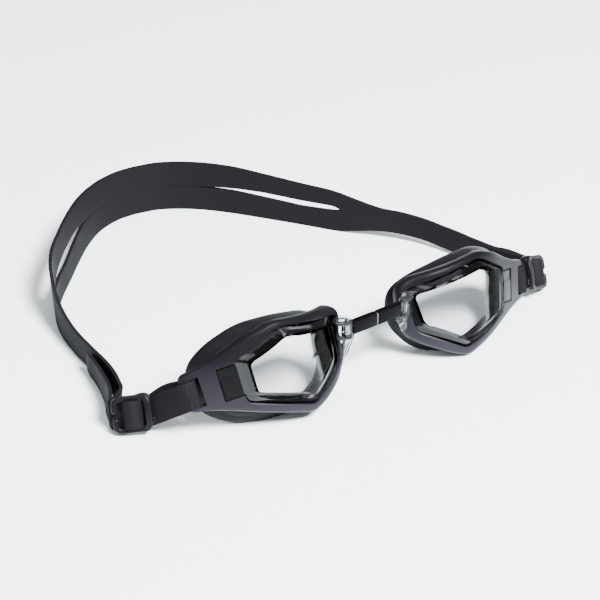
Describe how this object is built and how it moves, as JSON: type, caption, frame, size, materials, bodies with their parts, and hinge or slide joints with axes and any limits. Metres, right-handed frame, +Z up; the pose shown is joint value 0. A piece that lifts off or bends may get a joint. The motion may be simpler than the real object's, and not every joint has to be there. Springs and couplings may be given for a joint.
{
  "type": "swim goggles",
  "caption": "Swim goggles lying on their lower edge: clear lenses in soft grey frames, a hinged nose bridge, dark face seals and a split silicone strap with sliding buckles.",
  "frame": {"origin": "middle of the bounding box, on the surface that the goggles lie on", "axes": "+X towards the right-hand eyecup as seen from in front of the lenses with +Y away; +Y from the lenses to the back of the strap; +Z up from the surface"},
  "size_m": [0.2189, 0.1956, 0.0436],
  "materials": {
    "lens_clear": "clear polished polycarbonate",
    "bridge_clear": "clear moulded plastic",
    "bridge_black": "glossy black",
    "frame_grey": "soft satin dark grey",
    "panel_dark": "matte near-black",
    "seal_black": "matte silicone",
    "strap_charcoal": "matte silicone",
    "buckle_black": "satin"
  },
  "bodies": {
    "bridge": {"nose_bridge": "bridge_clear", "left_bridge_sleeve": "bridge_black", "right_bridge_sleeve": "bridge_black", "left_strap_half": "strap_charcoal", "right_strap_half": "strap_charcoal", "left_strap_tail": "strap_charcoal", "right_strap_tail": "strap_charcoal"},
    "left_cup": {"left_lens": "lens_clear", "left_frame": "frame_grey", "left_arm_panel": "panel_dark", "left_gasket": "seal_black"},
    "left_loop": {"left_strap_loop": "strap_charcoal"},
    "left_buckle": {"left_buckle": "buckle_black", "left_strap_turn": "strap_charcoal"},
    "right_cup": {"right_lens": "lens_clear", "right_frame": "frame_grey", "right_arm_panel": "panel_dark", "right_gasket": "seal_black"},
    "right_loop": {"right_strap_loop": "strap_charcoal"},
    "right_buckle": {"right_buckle": "buckle_black", "right_strap_turn": "strap_charcoal"}
  },
  "joints": [
    {"name": "left_cup_swing", "type": "hinge", "parent": "bridge", "child": "left_cup", "pos_m": [-0.0131, -0.0825, 0.0274], "axis": [0, 0, -1], "range_deg": [-8, 10], "deforming": ["left_strap_half", "left_strap_tail", "left_strap_loop", "left_strap_turn"]},
    {"name": "left_strap_swing", "type": "hinge", "parent": "left_cup", "child": "left_loop", "pos_m": [-0.08464, -0.07486, 0.01963], "axis": [0.1173, -0.2729, -0.9549], "range_deg": [-12, 12], "deforming": ["left_strap_turn"]},
    {"name": "left_buckle_slide", "type": "slide", "parent": "left_loop", "child": "left_buckle", "axis": [-0.8245, 0.5561, -0.1045], "range_m": [-0.004, 0.004]},
    {"name": "right_cup_swing", "type": "hinge", "parent": "bridge", "child": "right_cup", "pos_m": [0.0169, -0.0825, 0.0274], "axis": [0, 0, 1], "range_deg": [-8, 10], "deforming": ["right_strap_half", "right_strap_tail", "right_strap_loop", "right_strap_turn"]},
    {"name": "right_strap_swing", "type": "hinge", "parent": "right_cup", "child": "right_loop", "pos_m": [0.08857, -0.07324, 0.01388], "axis": [0.1776, 0.312, 0.9334], "range_deg": [-12, 12], "deforming": ["right_strap_turn"]},
    {"name": "right_buckle_slide", "type": "slide", "parent": "right_loop", "child": "right_buckle", "axis": [0.8937, 0.2904, -0.342], "range_m": [0, 0.006]}
  ]
}
